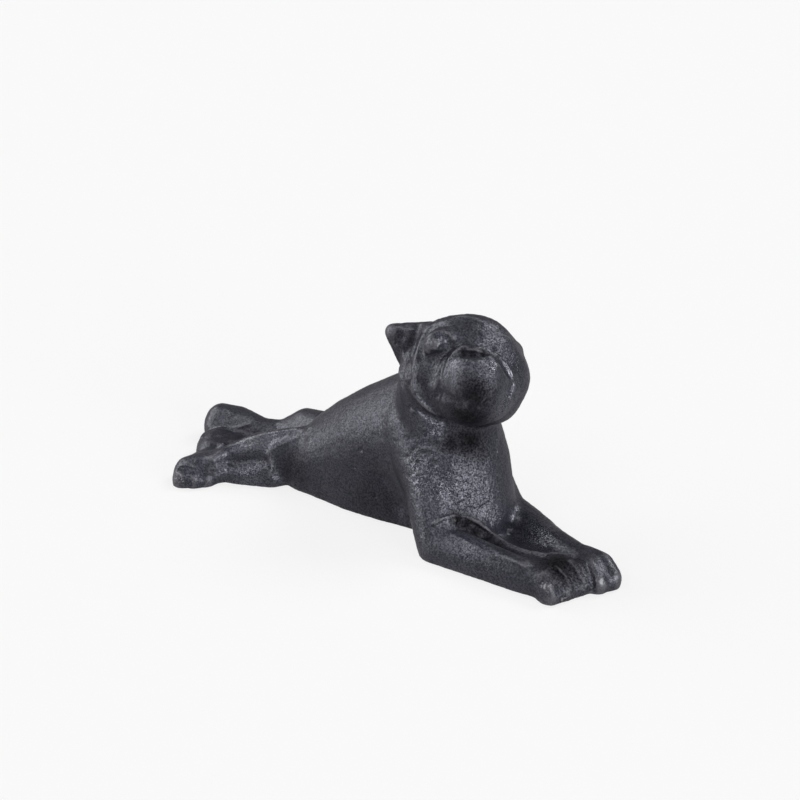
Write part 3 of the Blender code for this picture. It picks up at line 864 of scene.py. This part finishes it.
def store(mesh, name, values):
    """Keeps one number for each point on the mesh, in place of an older one of that name."""
    old = mesh.attributes.get(name)
    if old:
        mesh.attributes.remove(old)
    attribute = mesh.attributes.new(name, "FLOAT", "POINT")
    attribute.data.foreach_set("value", values.astype(np.float32))


def store_roughness(mesh):
    """Keeps how rough the iron is at each point."""
    store(mesh, "rough", ROUGH_BASE + strongest_spot(mesh, ROUGH_BODY, ROUGH_HEAD))


store_roughness(dog.data)
print("rough spots:", len(ROUGH_BODY) + len(ROUGH_HEAD))

# %% [markdown]
# ## The sand-cast surface
#
# Molten iron copies the sand of its mould. The surface gets low lumps where the sand settled,
# a finer roughness from its grains, and here and there a pit left by a bubble. All of it follows
# a rule, so a Geometry Nodes tree makes it: three textures of the position, added up and used to
# move each point along its normal. Noise gives the lumps and grains, and the middles of a Voronoi
# texture's cells give the pits.

# %% Lumps, grains and pits
SKIN_SIZES = {
    "Lump size": 6.0,
    "Lump height": 0.4,
    "Grain size": 1.8,
    "Grain height": 0.3,
    "Pit spacing": 9.0,
    "Pit depth": 0.6,
}
PIT_WIDTH = 0.22
NOISE_MIDDLE = 0.5


def seeded_texture(tree, node, position, size, seed):
    """Lays a four-dimensional texture over the position, with features of that size."""
    tree.links.new(position, node.inputs["Vector"])
    tree.links.new(math_node(tree, "DIVIDE", 1.0, size), node.inputs["Scale"])
    tree.links.new(seed, node.inputs["W"])


def bumps(tree, position, given, kind, detail):
    """Noise about zero, with the size and height that the tree is given for that kind."""
    noise = add_node(tree, "ShaderNodeTexNoise", noise_dimensions="4D")
    seeded_texture(tree, noise, position, given[kind + " size"], given["Seed"])
    noise.inputs["Detail"].default_value = detail
    centred = math_node(tree, "SUBTRACT", noise.outputs["Fac"], NOISE_MIDDLE)
    return math_node(tree, "MULTIPLY", centred, given[kind + " height"])


def pits(tree, position, given):
    """A round pit at the middle of each cell of a Voronoi texture."""
    cells = add_node(tree, "ShaderNodeTexVoronoi", voronoi_dimensions="4D")
    seeded_texture(tree, cells, position, given["Pit spacing"], given["Seed"])
    bowl = remap(tree, cells.outputs["Distance"], 0.0, PIT_WIDTH, -1.0, 0.0)
    return math_node(tree, "MULTIPLY", bowl, given["Pit depth"])


print("skin sizes in mm:", SKIN_SIZES)

# %% [markdown]
# ## The casting-skin tree
#
# The tree has a named input for each size, and one for the seed that keeps the sand the same on
# each run. The grains grow with the roughness that the points keep. It ends by realizing instances
# and setting the paint, so that the result is one plain mesh.

# %% The casting-skin tree
LUMP_DETAIL = 1.5
GRAIN_DETAIL = 1.0
GRAIN_SMOOTH_SHARE = 0.3
GRAIN_ROUGH_SHARE = 2.6


def add_socket(tree, name, kind, value=None, side="INPUT"):
    """A named input or output of the tree, and the value that an input starts from."""
    socket = tree.interface.new_socket(name, in_out=side, socket_type="NodeSocket" + kind)
    if value is not None:
        socket.default_value = value


def push_out(tree, casting, lift):
    """Moves every point of the casting along its normal."""
    normal = tree.nodes.new("GeometryNodeInputNormal").outputs["Normal"]
    move = add_node(tree, "ShaderNodeVectorMath", operation="SCALE")
    tree.links.new(normal, move.inputs[0])
    tree.links.new(lift, move.inputs["Scale"])
    shift = tree.nodes.new("GeometryNodeSetPosition")
    tree.links.new(casting, shift.inputs["Geometry"])
    tree.links.new(move.outputs["Vector"], shift.inputs["Offset"])
    return shift.outputs["Geometry"]


def build_cast_skin():
    """The tree, from the plain casting to the rough and painted one."""
    tree = bpy.data.node_groups.new("cast_skin", "GeometryNodeTree")
    add_socket(tree, "Casting", "Geometry")
    for name, size in SKIN_SIZES.items():
        add_socket(tree, name, "Float", size * MM)
    add_socket(tree, "Seed", "Float")
    add_socket(tree, "Finish", "Material")
    add_socket(tree, "Casting", "Geometry", side="OUTPUT")
    given = tree.nodes.new("NodeGroupInput").outputs
    result = tree.nodes.new("NodeGroupOutput")
    position = tree.nodes.new("GeometryNodeInputPosition").outputs["Position"]
    rough = add_node(tree, "GeometryNodeInputNamedAttribute", data_type="FLOAT")
    rough.inputs["Name"].default_value = "rough"

    lumps = bumps(tree, position, given, "Lump", LUMP_DETAIL)
    grains = bumps(tree, position, given, "Grain", GRAIN_DETAIL)
    coarser = math_node(tree, "MULTIPLY", rough.outputs["Attribute"], GRAIN_ROUGH_SHARE)
    share = math_node(tree, "ADD", coarser, GRAIN_SMOOTH_SHARE)
    lift = math_node(tree, "ADD", lumps, math_node(tree, "MULTIPLY", grains, share))
    lift = math_node(tree, "ADD", lift, pits(tree, position, given))

    real = tree.nodes.new("GeometryNodeRealizeInstances")
    tree.links.new(push_out(tree, given["Casting"], lift), real.inputs["Geometry"])
    coat = tree.nodes.new("GeometryNodeSetMaterial")
    tree.links.new(real.outputs["Geometry"], coat.inputs["Geometry"])
    tree.links.new(given["Finish"], coat.inputs["Material"])
    tree.links.new(coat.outputs["Geometry"], result.inputs["Casting"])
    return tree


cast_skin = build_cast_skin()
print("cast_skin:", len(cast_skin.nodes), "nodes")

# %% [markdown]
# ## Growing the skin
#
# The tree runs as a modifier on the net. Its inputs are set by their identifiers, because a
# modifier doesn't know them by name. The result is then made a plain mesh, which is what a part
# needs to ride on its body.

# %% Run the tree
SKIN_SEED = 7.0


def run_tree(obj, tree, **values):
    """Adds the tree as a modifier, sets its inputs by identifier and makes the result plain."""
    modifier = obj.modifiers.new(tree.name, "NODES")
    modifier.node_group = tree
    sockets = {item.name: item.identifier for item in tree.interface.items_tree
               if item.item_type == "SOCKET" and item.in_out == "INPUT"}
    for name, value in values.items():
        modifier[sockets[name]] = value
    plain_mesh(obj)


paint = bpy.data.materials.new("satin_black_paint")
run_tree(dog, cast_skin, Seed=SKIN_SEED, Finish=paint)
print("skin:", len(dog.data.polygons), "faces after the tree")

# %% [markdown]
# ## Thinning
#
# Flat parts don't need as many triangles as the face, so a Decimate modifier takes them away
# there, and the mesh stays light.

# %% Thin
SKIN_TRIANGLES = 185000


def thin(obj, triangles):
    """Leaves about that many triangles, where they are needed most."""
    obj.data.calc_loop_triangles()
    reduce = obj.modifiers.new("Thin", "DECIMATE")
    reduce.ratio = min(1.0, triangles / len(obj.data.loop_triangles))
    reduce.use_collapse_triangulate = True
    plain_mesh(obj)


thin(dog, SKIN_TRIANGLES)
print("thinned:", len(dog.data.polygons), "faces")

# %% [markdown]
# ## Ground base and pad seats
#
# The underside of the real casting is ground flat after pouring, and its pad seats are drilled.
# Here a block and four discs are taken away by Boolean modifiers. Both are cut last, so that their
# edges stay crisp.

# %% Grind and drill
BASE_DROP = 0.8
BASE_BAND = 1.3
CUT_DEPTH = 30.0
SEAT_CLEARANCE = 0.3


def drop_rim(obj):
    """Draws the lowest band down a little, so that the cut meets it as a crisp edge."""
    points = points_of(obj.data)
    above = np.clip(points[:, 2] - base_height, 0, None)
    points[:, 2] -= BASE_DROP * MM * bell(above, BASE_BAND)
    move_points(obj.data, points)


def grinder():
    """Cutter: a wide block whose top is the plane of the base."""
    low, high = (Vector(corner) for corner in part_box("casting"))
    middle = (low + high) / 2
    span, depth = 2 * (high - low).length, CUT_DEPTH * MM
    place = Matrix.Translation((middle.x, middle.y, base_height - depth / 2))
    bm = bmesh.new()
    bmesh.ops.create_cube(bm, size=1, matrix=place @ Matrix.Diagonal((span, span, depth, 1)))
    return object_from(bm, "grinder")


def drills():
    """Cutter: a disc for each pad, with its clearance all round."""
    bm = bmesh.new()
    for name in PAD_NAMES:
        seat = pad_diameter(name) + 2 * SEAT_CLEARANCE
        seat_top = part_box(name)[1][2] / MM + SEAT_CLEARANCE
        add_disc(bm, pad_centre(name), seat, -CUT_DEPTH / 2, seat_top)
    return object_from(bm, "drills")


def cut(obj, cutter):
    """Takes the cutter's shape out of the object, and removes the cutter."""
    boolean = obj.modifiers.new(cutter.name, "BOOLEAN")
    boolean.operation = "DIFFERENCE"
    boolean.solver = "MANIFOLD"
    boolean.object = cutter
    plain_mesh(obj)
    bpy.data.objects.remove(cutter)


drop_rim(dog)
cut(dog, grinder())
cut(dog, drills())
dog.data.shade_smooth()
print("casting:", len(dog.data.polygons), "faces")

# %% [markdown]
# ## Where hands and floors have rubbed
#
# Paint wears thin on ridges first. How sharply the surface bends is measured once for each point
# and stored on the mesh, and the paint reads it. The toes, the front paw's lower edge and the hock
# have lost their paint here and there, which spots say. Thinning and cutting have made new points,
# so their roughness is stored again too.

# %% Bend and wear
BEND_ROUNDS = 3
WORN_SPOTS = {
    "outer_toe": (4.5, 1, (240.5, -19.5, 8.5)),
    "second_toe": (3.0, 0.9, (244, -12, 2)),
    "inner_toe": (3.5, 1, (246, 7, 7)),
    "hind_toe": (5.0, 0.9, (3, -31, 5)),
    "hock_bulge": (6.0, 0.85, (38, -24, 5)),
    "paw_foot": (6.0, 0.85, (238, -16, 1)),
}


def bend_of(mesh):
    """How far each point stands proud of its neighbours, in millimetres."""
    points, (first, second) = points_of(mesh), ends_of(mesh)
    soft = points
    for _ in range(BEND_ROUNDS):
        soft = average_of_neighbours(soft, first, second)
    bend = np.einsum("ij,ij->i", points - soft, normals_of(mesh))
    return average_of_neighbours(bend, first, second) / MM


bend = bend_of(dog.data)
store(dog.data, "bend", bend)
store(dog.data, "wear", near_spots(dog.data, on_spine, WORN_SPOTS))
store_roughness(dog.data)
print("bend, 5th to 95th percentile:", np.percentile(bend, [5, 50, 95]).round(3), "mm")

# %% [markdown]
# ## Where the paint is dull or wet, and where shade is painted
#
# The paint was sprayed from above, by hand. Under the muzzle, on the throat and in the hollows of
# the forelegs its sheen is weak, and there the colour is darkened as painted shade; fainter dull
# spots elsewhere do the same. On the chest, the muzzle's top and the thigh it ran wet and shines
# more. Each point keeps how strongly its paint shines, and where that is low, shade is painted in.

# %% Dull and wet paint, and painted shade
GLOSS_BASE = 0.90
DULL_AND_SHADE_LOSS = 0.75
WET_GAIN = 0.40
# A dull spot weakens the sheen and also darkens the colour there, as painted shade.
DULL_SHADED_BODY = {
    "elbow_plane": (4, 1.05, (177.5, -25, 19)),
    "arm_top": (5, 1.05, (181, -22, 16.3)),
    "arm_slope": (5, 1.05, (185, -19, 12.5)),
    "arm_middle": (5, 1.05, (190, -16.5, 10)),
    "arm_low": (5.5, 1.05, (197, -16.5, 9)),
    "arm_end": (6, 0.8, (206, -16, 9.5)),
    "toe_tops": (12, 1.0, (234, -8, 13)),
    "paws": (13, 0.4, (240, -6, 7)),
    "belly": (16, 0.45, (118, -28, 8)),
    "rump": (12, 0.7, (66, -16, 15)),
    "tail": (9, 0.4, (24, 9, 11)),
    "hock_fold": (5, 0.4, (36, -17.5, 12)),
    "ankle": (5, 0.6, (20, -26, 8)),
    "flank": (24, 0.25, (100, -27, 32)),
    "back": (26, 0.2, (105, 2, 55)),
}
DULL_SHADED_HEAD = {
    "throat": (10.5, 1.05, (5, -1, -32)),
    "throat_side": (6, 0.9, (5, -10, -33)),
    "throat_foot": (7, 0.75, (3, 3, -38)),
    "ear": (5, 0.4, (-10, -34, 14)),
    "under_muzzle": (11, 0.9, (21, -4, -13)),
    "lower_muzzle": (10, 0.9, (27, -1, -3)),
    "nose_left": (2.6, 1.05, (15, -5.5, 12.6)),
    "nose_middle": (2.8, 1.05, (16, -1.5, 13)),
    "nose_right": (2.6, 1.05, (15.5, 3.5, 12.5)),
    "forehead": (8, 0.45, (6, -2, 22)),
    "eye_corner": (4, 0.3, (7, -22, 11)),
    "left_cheek": (6, 0.4, (9, -25, 0)),
}
GLOSSY_BODY = {
    "chest": (10, 0.8, (168, -28, 37)),
    "far_forearm": (12, 1.4, (203, 6, 11)),
    "hock": (9, 1.3, (40, -24, 5)),
    "hind_crest": (9, 0.9, (33, -12, 20)),
    "forearm_side": (13, 0.5, (198, -35, 7)),
    "shoulder": (10, 1.2, (155, -30, 39)),
    "thigh": (10, 1.0, (54, -12, 25)),
    "neck_front": (9, 0.3, (165, -22, 44)),
}
GLOSSY_HEAD = {
    "left_flew": (3.5, 1.0, (17, -9.3, 8.2)),
    "right_flew": (4.5, 1.15, (21.5, 7, 7)),
    "below_jaw": (5, 0.5, (2, -20, -28)),
    "jowl": (5, 0.9, (18, 13, -10)),
    "eye": (3, 0.5, (10, -17, 15)),
    "right_cheek": (9, 1.1, (9, 20, 2)),
}


def shine_and_shade_of(mesh):
    """How strongly the paint shines, 0.1 where dull and shade is painted, 1.5 where it is wet."""
    # Dull spots are also where shade is painted into the colour.
    dull = strongest_spot(mesh, DULL_SHADED_BODY, DULL_SHADED_HEAD)
    wet = strongest_spot(mesh, GLOSSY_BODY, GLOSSY_HEAD)
    return GLOSS_BASE - DULL_AND_SHADE_LOSS * dull + WET_GAIN * wet


# The stored number sets the sheen, and where it is low the colour is darkened as painted shade.
shine_and_shade = shine_and_shade_of(dog.data)
store(dog.data, "shine_and_shade", shine_and_shade)
print("gloss from", round(float(shine_and_shade.min()), 2), "to", round(float(shine_and_shade.max()), 2))

# %% [markdown]
# ## Patterns and mixes
#
# Every finish is made from the same few things: noise at a place on the object, colours laid over
# each other, and what the points keep. A place is in Object coordinates, so a pattern stays on the
# piece wherever it moves.

# %% Helpers for finishes
NOISE_ROUGHNESS = 0.55


def noise_at(tree, place, scale, detail, roughness=NOISE_ROUGHNESS):
    """Noise from 0 to 1, with that many features to the metre."""
    noise = add_node(tree, "ShaderNodeTexNoise")
    tree.links.new(place, noise.inputs["Vector"])
    noise.inputs["Scale"].default_value = scale
    noise.inputs["Detail"].default_value = detail
    noise.inputs["Roughness"].default_value = roughness
    return noise.outputs["Fac"]


def colour_socket(node, name):
    """The colour version of a Mix node's input or output."""
    sockets = list(node.inputs) + list(node.outputs)
    return next(s for s in sockets if s.name == name and s.type == "RGBA")


def mix_colours(tree, share, first, second):
    """Lays the second colour over the first, by that share."""
    node = add_node(tree, "ShaderNodeMix", data_type="RGBA")
    tree.links.new(share, node.inputs[0])
    feed(tree, colour_socket(node, "A"), first)
    feed(tree, colour_socket(node, "B"), second)
    return colour_socket(node, "Result")


def kept(tree, name):
    """What each point of the mesh keeps under that name."""
    return add_node(tree, "ShaderNodeAttribute", attribute_name=name).outputs["Fac"]


print("points keep:", [a.name for a in dog.data.attributes if a.domain == "POINT"])

# %% [markdown]
# ## The colour of satin black paint
#
# One coat of satin black, a little bluish and near black, with faint clouds and a paler tone where
# the iron is coarse, which on the chest is partly a painted highlight. Where the sheen is weak the
# colour is darker still: that is painted shade, in the throat, under the muzzle and in the
# forelegs' hollows. On ridges the paint is thin and rubbed lighter. On worn spots a noise decides,
# chip by chip, where the bare iron shows. Each of these is one Mix node, laid over the last as
# coats are, with a share from a noise or from what the points keep.

# %% The paint's colour
# The deepest colour is painted shade, laid where the sheen is weakest.
PAINTED_SHADE = (0.002, 0.002, 0.003, 1)
PAINT_DARK = (0.012, 0.012, 0.018, 1)
PAINT_PALE = (0.020, 0.020, 0.029, 1)
# The coarse tone is partly the coarse iron's own and partly a painted highlight on the chest.
PAINT_COARSE_AND_HIGHLIGHT = (0.038, 0.038, 0.051, 1)
PAINT_RUBBED = (0.115, 0.115, 0.125, 1)
BARE_IRON = (0.22, 0.22, 0.235, 1)
CLOUDS = {"scale": 45, "detail": 3}
CHIPS = {"scale": 760, "detail": 3}
CLOUD_EDGES = (0.35, 0.65)
COARSE_EDGES = (0.4, 1.0)
GRAIN_EDGES = (0.45, 0.7)
# Over this range of the stored shine, the colour turns towards painted shade.
SHADE_EDGES = (0.2, 0.9)
RIDGE_EDGES = (0.08, 0.20)
RIDGE_SHARE = 0.6
CHIP_STRENGTH = 1.6
CHIP_EDGES = (1.66, 1.74)


def bare_share(tree, place):
    """1 where the paint has chipped off, and 0 elsewhere."""
    chips = math_node(tree, "MULTIPLY", noise_at(tree, place, **CHIPS), CHIP_STRENGTH)
    return remap(tree, math_node(tree, "ADD", kept(tree, "wear"), chips), *CHIP_EDGES)


def paint_colour(tree, place, fine, bare):
    """The coats of colour over each other, with painted shade and a partly painted highlight."""
    clouds = remap(tree, noise_at(tree, place, **CLOUDS), *CLOUD_EDGES)
    coat = mix_colours(tree, clouds, PAINT_DARK, PAINT_PALE)
    # Paler where the iron is coarse: partly real, partly a painted highlight.
    coat = mix_colours(tree, remap(tree, kept(tree, "rough"), *COARSE_EDGES), coat, PAINT_COARSE_AND_HIGHLIGHT)
    coat = mix_colours(tree, remap(tree, fine, *GRAIN_EDGES), coat, PAINT_PALE)
    # Painted shade: the colour goes towards near black where the sheen is weak.
    coat = mix_colours(tree, remap(tree, kept(tree, "shine_and_shade"), *SHADE_EDGES), PAINTED_SHADE, coat)
    ridge = math_node(tree, "MULTIPLY", remap(tree, kept(tree, "bend"), *RIDGE_EDGES), RIDGE_SHARE)
    coat = mix_colours(tree, ridge, coat, PAINT_RUBBED)
    return mix_colours(tree, bare, coat, BARE_IRON)


print("paint colours from", PAINTED_SHADE[:3], "to", PAINT_RUBBED[:3])

# %% [markdown]
# ## The sheen of satin black paint
#
# Most of what is seen on a black object is its sheen. It is a little uneven, smoother where the
# paint is wet, and its strength follows what each point keeps. A fine noise makes it sparkle, as
# grains of sand do under a thin coat.

# %% The paint's sheen
SHEEN_EDGES = (0.3, 0.7)
SHEEN_ROUGHNESS = (0.37, 0.45)
SHEEN_TINT = (0.87, 0.87, 1.0, 1)
ROUGH_GLOSS = 0.07
WET_SMOOTHNESS = 0.35
DUST = {"scale": 1150, "detail": 2, "roughness": 0.6}
DUST_EDGES = (0.35, 0.65)
SPARKLE_LEAST = 0.25
SPARKLE_ROUGH_SHARE = 0.7
IRON_METAL = 0.5


def sheen_roughness(tree, broad):
    """How much the sheen is blurred: less on coarse iron, and less where the paint is wet."""
    sheen = remap(tree, broad, *SHEEN_EDGES, *SHEEN_ROUGHNESS)
    sharper = math_node(tree, "MULTIPLY", kept(tree, "rough"), ROUGH_GLOSS)
    sheen = math_node(tree, "SUBTRACT", sheen, sharper)
    wet = math_node(tree, "SUBTRACT", kept(tree, "shine_and_shade"), GLOSS_BASE)
    return math_node(tree, "SUBTRACT", sheen, math_node(tree, "MULTIPLY", wet, WET_SMOOTHNESS))


def sheen_strength(tree, place):
    """The stored shine, made uneven by a fine noise that is stronger where the iron is rough."""
    dust = remap(tree, noise_at(tree, place, **DUST), *DUST_EDGES, -1, 1)
    reach = math_node(tree, "MULTIPLY", kept(tree, "rough"), SPARKLE_ROUGH_SHARE)
    reach = math_node(tree, "ADD", reach, SPARKLE_LEAST)
    sparkle = math_node(tree, "ADD", math_node(tree, "MULTIPLY", dust, reach), 1.0)
    return math_node(tree, "MULTIPLY", kept(tree, "shine_and_shade"), sparkle)


print("sheen roughness:", SHEEN_ROUGHNESS)

# %% [markdown]
# ## Grain too fine to model
#
# Grains under half a millimetre would need millions of points, so two bumps stand for them, one
# over the other. Both are stronger where the iron is rough. With them the paint is complete: its
# shader takes the colour, the sheen and the bumps, and half the look of metal where it is chipped.

# %% The paint's grain, and all of it together
FINE_GRAIN = {"scale": 950, "detail": 3, "roughness": 0.65}
BROAD_GRAIN = {"scale": 380, "detail": 2}
FINE_BUMP = 0.35
FINE_LEAST = 0.15
BROAD_BUMP = 0.6
BROAD_SHARE = 0.5


def principled(material):
    """Empties the material, and gives its tree, its shader's inputs and Object coordinates."""
    tree, output = cleared_tree(material)
    shader = tree.nodes.new("ShaderNodeBsdfPrincipled")
    tree.links.new(shader.outputs["BSDF"], output.inputs["Surface"])
    return tree, shader.inputs, tree.nodes.new("ShaderNodeTexCoord").outputs["Object"]


def bump(tree, height, strength, distance, below=None):
    """A bump of that height in millimetres, laid over the one below it."""
    node = add_node(tree, "ShaderNodeBump")
    node.inputs["Distance"].default_value = distance * MM
    feed(tree, node.inputs["Strength"], strength)
    tree.links.new(height, node.inputs["Height"])
    if below is not None:
        tree.links.new(below, node.inputs["Normal"])
    return node.outputs["Normal"]


def finish_paint(material):
    """Fills the material that the casting wears already."""
    tree, shader, place = principled(material)
    fine, broad = noise_at(tree, place, **FINE_GRAIN), noise_at(tree, place, **BROAD_GRAIN)
    bare = bare_share(tree, place)
    tree.links.new(paint_colour(tree, place, fine, bare), shader["Base Color"])
    tree.links.new(math_node(tree, "MULTIPLY", bare, IRON_METAL), shader["Metallic"])
    tree.links.new(sheen_roughness(tree, broad), shader["Roughness"])
    tree.links.new(sheen_strength(tree, place), shader["Specular IOR Level"])
    shader["Specular Tint"].default_value = SHEEN_TINT
    rough = kept(tree, "rough")
    below = bump(tree, broad, math_node(tree, "MULTIPLY", rough, BROAD_SHARE), BROAD_BUMP)
    fine_strength = math_node(tree, "ADD", rough, FINE_LEAST)
    tree.links.new(bump(tree, fine, fine_strength, FINE_BUMP, below), shader["Normal"])


finish_paint(paint)
print("paint:", len(paint.node_tree.nodes), "nodes")

# %% [markdown]
# ## Rubber pads
#
# The four pads are right as they were measured, so they stay, and only get a finish: dull black
# rubber, a little dusty where it has touched the floor.

# %% Rubber
RUBBER_DARK = (0.018, 0.018, 0.019, 1)
RUBBER_DUSTY = (0.060, 0.058, 0.055, 1)
RUBBER_DUST = {"scale": 300, "detail": 4}
RUBBER_DUST_EDGES = (0.45, 0.7)
RUBBER_ROUGHNESS = (0.68, 0.85)
RUBBER_GRAIN = {"scale": 1800, "detail": 2}
RUBBER_BUMP = 0.15
RUBBER_BUMP_STRENGTH = 0.4


def rubber_material():
    """Dull rubber whose dusty patches are paler and rougher."""
    material = bpy.data.materials.new("pad_rubber")
    tree, shader, place = principled(material)
    dust = remap(tree, noise_at(tree, place, **RUBBER_DUST), *RUBBER_DUST_EDGES)
    tree.links.new(mix_colours(tree, dust, RUBBER_DARK, RUBBER_DUSTY), shader["Base Color"])
    tree.links.new(remap(tree, dust, 0, 1, *RUBBER_ROUGHNESS), shader["Roughness"])
    grain = noise_at(tree, place, **RUBBER_GRAIN)
    tree.links.new(bump(tree, grain, RUBBER_BUMP_STRENGTH, RUBBER_BUMP), shader["Normal"])
    return material


rubber = rubber_material()
for name in PAD_NAMES:
    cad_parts[name].material_slots[0].material = rubber
print("pads finished:", len(PAD_NAMES))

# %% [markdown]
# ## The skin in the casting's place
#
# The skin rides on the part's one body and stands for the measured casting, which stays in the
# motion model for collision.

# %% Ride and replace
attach(dog, "root")
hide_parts("casting")
